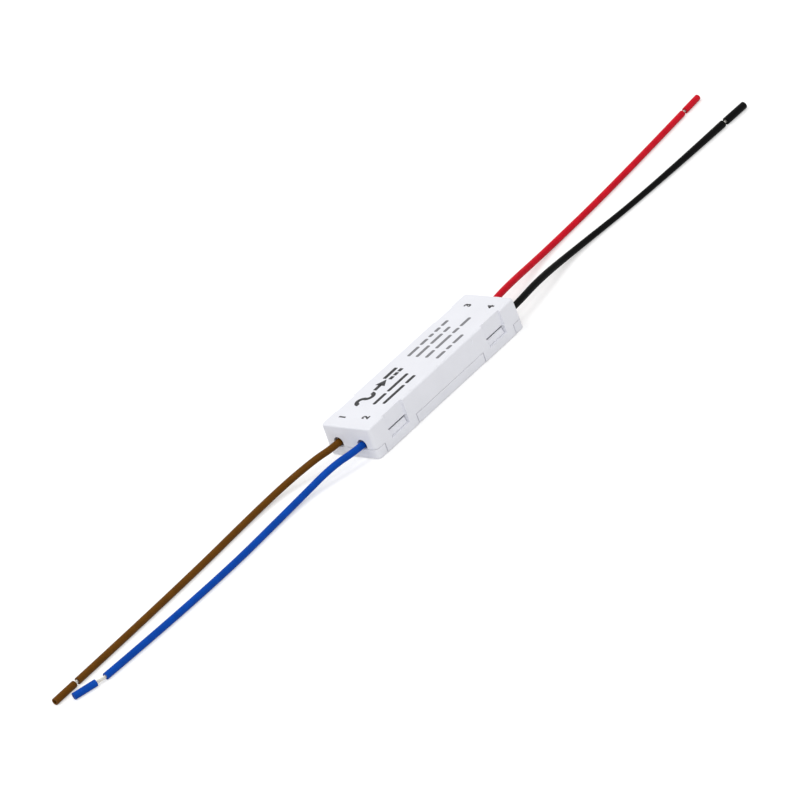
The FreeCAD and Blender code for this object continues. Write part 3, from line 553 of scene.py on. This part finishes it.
class DECOUPLER_OT_stage(bpy.types.Operator):
    """Set the camera, the lamps and the pale floor"""
    bl_idname = "decoupler.set_stage"
    bl_label = "Stage"

    def execute(self, context):
        settings = context.scene.decoupler_stage
        self.add_camera(context, settings)
        powers = {"key": settings.key_power, "fill": settings.fill_power, "end": settings.end_power}
        for name, (place, size) in LAMPS.items():
            self.add_lamp(context, f"{name}_lamp", place, size, powers[name])
        self.add_world(context, settings.sky)
        self.add_floor(context)
        context.scene.view_settings.view_transform = "Standard"
        return {"FINISHED"}

    def add_camera(self, context, settings):
        heading, height, roll = settings.azimuth, settings.elevation, settings.roll
        back = Vector((math.sin(heading) * math.cos(height), -math.cos(heading) * math.cos(height),
                       math.sin(height)))
        level = Vector((math.cos(heading), math.sin(heading), 0))
        over = back.cross(level)
        right = math.cos(roll) * level + math.sin(roll) * over
        upward = math.cos(roll) * over - math.sin(roll) * level
        pivot = UP * settings.pivot_height
        aim = (right * settings.aim_right + upward * settings.aim_up - back * settings.distance).normalized()
        turn = (-back).rotation_difference(aim).to_matrix() @ Matrix((right, upward, back)).transposed()
        data = bpy.data.cameras.new("camera")
        data.sensor_width = SENSOR_WIDTH
        data.lens = data.sensor_width * settings.distance / settings.picture_width
        data.clip_start, data.clip_end = 0.05, 20
        camera = bpy.data.objects.new("camera", data)
        camera.matrix_world = Matrix.Translation(pivot + back * settings.distance) @ turn.to_4x4()
        context.scene.collection.objects.link(camera)
        context.scene.camera = camera

    def add_lamp(self, context, name, place, size, power):
        data = bpy.data.lights.new(name, "AREA")
        data.shape = "SQUARE"
        data.size = size
        data.energy = power
        lamp = bpy.data.objects.new(name, data)
        lamp.location = place
        lamp.rotation_euler = (-Vector(place)).to_track_quat("-Z", "Y").to_euler()
        context.scene.collection.objects.link(lamp)

    def seen_directly(self, tree, low, high):
        """A value that is high where the camera, gloss or glass sees the surface, and low elsewhere."""
        path = tree.nodes.new("ShaderNodeLightPath")
        total = path.outputs["Is Camera Ray"]
        for output in ("Is Glossy Ray", "Is Transmission Ray"):
            adding = tree.nodes.new("ShaderNodeMath")
            adding.use_clamp = True
            tree.links.new(total, adding.inputs[0])
            tree.links.new(path.outputs[output], adding.inputs[1])
            total = adding.outputs["Value"]
        choice = tree.nodes.new("ShaderNodeMapRange")
        choice.inputs["To Min"].default_value = low
        choice.inputs["To Max"].default_value = high
        tree.links.new(total, choice.inputs["Value"])
        return choice.outputs["Result"]

    def add_world(self, context, sky):
        world = bpy.data.worlds.new("sky")
        world.use_nodes = True
        tree = world.node_tree
        tree.links.new(self.seen_directly(tree, sky, 1.0), tree.nodes["Background"].inputs["Strength"])
        tree.nodes["Background"].inputs["Color"].default_value = (1, 1, 1, 1)
        context.scene.world = world

    def add_floor(self, context):
        shape = bmesh.new()
        bmesh.ops.create_grid(shape, x_segments=1, y_segments=1, size=FLOOR_HALF_WIDTH)
        mesh = bpy.data.meshes.new("floor")
        shape.to_mesh(mesh)
        shape.free()
        material, tree, shader = new_material("floor_finish", roughness=0.9)
        shader.inputs["Base Color"].default_value = (FLOOR_GREY, FLOOR_GREY, FLOOR_GREY, 1)
        shader.inputs["Specular IOR Level"].default_value = 0.1
        shader.inputs["Emission Color"].default_value = (1, 1, 1, 1)
        tree.links.new(self.seen_directly(tree, 0.0, FLOOR_GLOW), shader.inputs["Emission Strength"])
        mesh.materials.append(material)
        floor = bpy.data.objects.new("floor", mesh)
        context.scene.collection.objects.link(floor)


class DECOUPLER_OT_conductors(bpy.types.Operator):
    """Lay the stranded conductors: the soldered tail and the stripped tip of each lead"""
    bl_idname = "decoupler.make_conductors"
    bl_label = "Conductors"

    def execute(self, context):
        lay_length = context.scene.decoupler_leads.lay_length
        material = mottled("tinned_copper_finish", (0.7, 0.68, 0.63), 0.3 * MM, roughness=0.38,
                           contrast=0.14, metallic=1.0)
        rng = random.Random(SEED)
        for colour in ROUTES:
            _, wire, count = lead_sizes(colour)
            tip = lay_strands(SLUG_LENGTHS[colour], wire / 2, count, lay_length, rng)
            if colour in BENDS:
                bend_tip(tip, *BENDS[colour])
            tip.transform(tip_frame(colour))
            tail = lay_strands(TAIL_LENGTH, wire / 2, count, lay_length, rng)
            start = Vector(ROUTES[colour][0])
            inward = Vector((-math.copysign(1, start.x), 0, 0))
            tail.transform(Matrix.Translation(start) @ turned_to(inward))
            add_shape(tip, tail)
            piece = finish_piece(f"{colour}_strands", tip, material, "module",
                                 f"{colour}_conductor")
            shade_smooth(piece, math.radians(50))
        return {"FINISHED"}


class DECOUPLER_OT_slugs(bpy.types.Operator):
    """Make the cut lengths of insulation that slide on the stripped tips"""
    bl_idname = "decoupler.make_slugs"
    bl_label = "Slugs"

    def execute(self, context):
        for colour in ROUTES:
            diameter, wire, _ = lead_sizes(colour)
            # A slug is as thick as the lead's cut end
            outer = diameter / 2 * THICKNESS[colour][-1]
            bore = wire / 2 + BORE_CLEARANCE
            sleeve = make_sleeve(SLUG_LENGTHS[colour], outer, bore, WORN_EDGES.get(colour, CUT_EDGE))
            sleeve.transform(slug_frame(colour))
            piece = finish_piece(f"{colour}_sleeve", sleeve, insulation(colour), f"{colour}_slug",
                                 f"{colour}_slug")
            shade_smooth(piece)
        return {"FINISHED"}


class DECOUPLER_OT_leads(bpy.types.Operator):
    """Lay the four leads along their routes"""
    bl_idname = "decoupler.make_leads"
    bl_label = "Leads"

    def execute(self, context):
        for colour, route in ROUTES.items():
            diameter, _, _ = lead_sizes(colour)
            line = bpy.data.curves.new(f"{colour}_jacket", "CURVE")
            line.dimensions = "3D"
            line.resolution_u = 24
            line.bevel_depth = diameter / 2
            line.bevel_resolution = 7
            line.use_fill_caps = True
            spline = line.splines.new("NURBS")
            spline.points.add(len(route) - 1)
            for point, place, thickness in zip(spline.points, route, THICKNESS[colour]):
                point.co = (*place, 1)
                point.radius = thickness
            spline.order_u = 3
            spline.use_endpoint_u = True
            line.materials.append(insulation(colour))
            lead = bpy.data.objects.new(f"{colour}_jacket", line)
            context.scene.collection.objects.link(lead)
            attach(lead, "module")
            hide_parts(f"{colour}_lead")
        return {"FINISHED"}


class DECOUPLER_OT_housing(bpy.types.Operator):
    """Finish the two moulded shells of the housing"""
    bl_idname = "decoupler.finish_housing"
    bl_label = "Housing"

    def execute(self, context):
        settings = context.scene.decoupler_housing
        material = moulded_plastic("housing_finish", settings.shell_colour, settings.grain_size,
                                   roughness=0.42)
        for node in ("cover", "base"):
            shell = soften_shell(node, settings.edge_radius)
            piece = finish_piece(f"{node}_shell", shell, material, "module", node)
            shade_smooth(piece, math.radians(25))
            # Large flat faces keep their own shading beside the narrow rounded edges
            even = piece.modifiers.new("even_shading", "WEIGHTED_NORMAL")
            even.keep_sharp = True
        return {"FINISHED"}


class DECOUPLER_OT_print(bpy.types.Operator):
    """Print the terminal numbers, the current symbols and the plain rows on the housing's top"""
    bl_idname = "decoupler.print_marks"
    bl_label = "Print"

    def execute(self, context):
        settings = context.scene.decoupler_print
        numbers = bmesh.new()
        for across, along, text in NUMERALS:
            add_numeral(numbers, text, across, along, settings.numeral_height)
        raise_ink("terminal_numbers", numbers, settings.dark_ink)

        symbols = bmesh.new()
        for across, angle in zip(WAVE_MIDDLES, (math.pi, -math.pi)):
            add_half_ring(symbols, across, SYMBOLS_ALONG, WAVE_RADIUS, WAVE_WIDTH, angle)
        across, length = ARROW_SHAFT
        add_bar(symbols, across, SYMBOLS_ALONG, length, STROKE_WIDTH, STROKE_ROUNDNESS)
        across, radius = ARROW_HEAD
        head = Matrix.Translation((across * MM, SYMBOLS_ALONG * MM, TOP_LEVEL))
        bmesh.ops.create_circle(symbols, cap_ends=True, segments=3, radius=radius * MM,
                                matrix=head @ Matrix.Rotation(-math.pi / 2, 4, "Z"))
        across, length = DIRECT_LINE
        add_bar(symbols, across, SYMBOLS_ALONG + DIRECT_OFFSET, length, STROKE_WIDTH, STROKE_ROUNDNESS)
        for across in DASH_MIDDLES:
            add_bar(symbols, across, SYMBOLS_ALONG - DIRECT_OFFSET, DASH_LENGTH, STROKE_WIDTH,
                    STROKE_ROUNDNESS)
        raise_ink("current_symbols", symbols, settings.dark_ink)

        for name, rows, colour in (("dark_rows", DARK_ROWS, settings.dark_ink),
                                   ("grey_rows", GREY_ROWS, settings.grey_ink)):
            shape = bmesh.new()
            add_rows(shape, rows)
            raise_ink(name, shape, colour)
        return {"FINISHED"}


class DECOUPLER_OT_board(bpy.types.Operator):
    """Finish the circuit board and the parts soldered to it"""
    bl_idname = "decoupler.finish_board"
    bl_label = "Board"

    def execute(self, context):
        # Each finish has its colour, the size of its blotches, its roughness and its contrast
        epoxy = mottled("black_epoxy_finish", (0.018, 0.018, 0.02), 0.2 * MM, 0.5, 0.2)
        finishes = {
            "circuit_board": mottled("laminate_finish", (0.02, 0.13, 0.045), 0.7 * MM, 0.4, 0.12),
            "lead_solder_joints": mottled("solder_finish", (0.66, 0.66, 0.67), 0.5 * MM, 0.3, 0.14,
                                          metallic=1.0),
            "fusible_resistor": mottled("lacquer_finish", (0.13, 0.22, 0.18), 0.6 * MM, 0.35, 0.12),
            "dropper_resistors": mottled("resistor_glaze_finish", (0.02, 0.021, 0.024), 0.3 * MM, 0.3, 0.2),
            "output_resistors": mottled("small_glaze_finish", (0.02, 0.021, 0.024), 0.25 * MM, 0.3, 0.2),
            "smoothing_capacitor": mottled("ceramic_finish", (0.36, 0.24, 0.14), 0.4 * MM, 0.45, 0.1),
            "bridge_rectifier": epoxy,
            "zener_diode": epoxy,
            "optocoupler": mottled("optocoupler_finish", (0.7, 0.7, 0.68), 0.3 * MM, 0.5, 0.05),
            "output_diode": epoxy,
            "output_transistor": epoxy,
        }
        for node, material in finishes.items():
            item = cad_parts[node]
            item.data.materials.clear()
            item.data.materials.append(material)
        return {"FINISHED"}


class DECOUPLER_PT_panel(bpy.types.Panel):
    """The decoupler's settings and the steps that make it"""
    bl_label = "Decoupler"
    bl_idname = "DECOUPLER_PT_panel"
    bl_space_type = "VIEW_3D"
    bl_region_type = "UI"
    bl_category = "Decoupler"

    def draw(self, context):
        layout = self.layout
        for group in SETTINGS:
            settings = getattr(context.scene, group)
            box = layout.box()
            for name in settings.bl_rna.properties.keys():
                if name not in ("rna_type", "name"):
                    box.prop(settings, name)
        for operator in STEPS:
            layout.operator(operator.bl_idname)


SETTINGS = {
    "decoupler_stage": StageSettings,
    "decoupler_leads": LeadSettings,
    "decoupler_housing": HousingSettings,
    "decoupler_print": PrintSettings,
}
# The stage comes first, then the leads with what is on them, then the rest
STEPS = (DECOUPLER_OT_stage, DECOUPLER_OT_conductors, DECOUPLER_OT_slugs, DECOUPLER_OT_leads,
         DECOUPLER_OT_housing, DECOUPLER_OT_print, DECOUPLER_OT_board)


def register():
    for item in (*SETTINGS.values(), *STEPS, DECOUPLER_PT_panel):
        bpy.utils.register_class(item)
    for name, group in SETTINGS.items():
        setattr(bpy.types.Scene, name, PointerProperty(type=group))


def unregister():
    for name in SETTINGS:
        delattr(bpy.types.Scene, name)
    for item in (DECOUPLER_PT_panel, *reversed(STEPS), *SETTINGS.values()):
        bpy.utils.unregister_class(item)


def main():
    register()
    bpy.ops.decoupler.set_stage()
    bpy.ops.decoupler.make_conductors()
    bpy.ops.decoupler.make_slugs()
    bpy.ops.decoupler.make_leads()
    bpy.ops.decoupler.finish_housing()
    bpy.ops.decoupler.print_marks()
    bpy.ops.decoupler.finish_board()


if __name__ == "__main__":
    main()
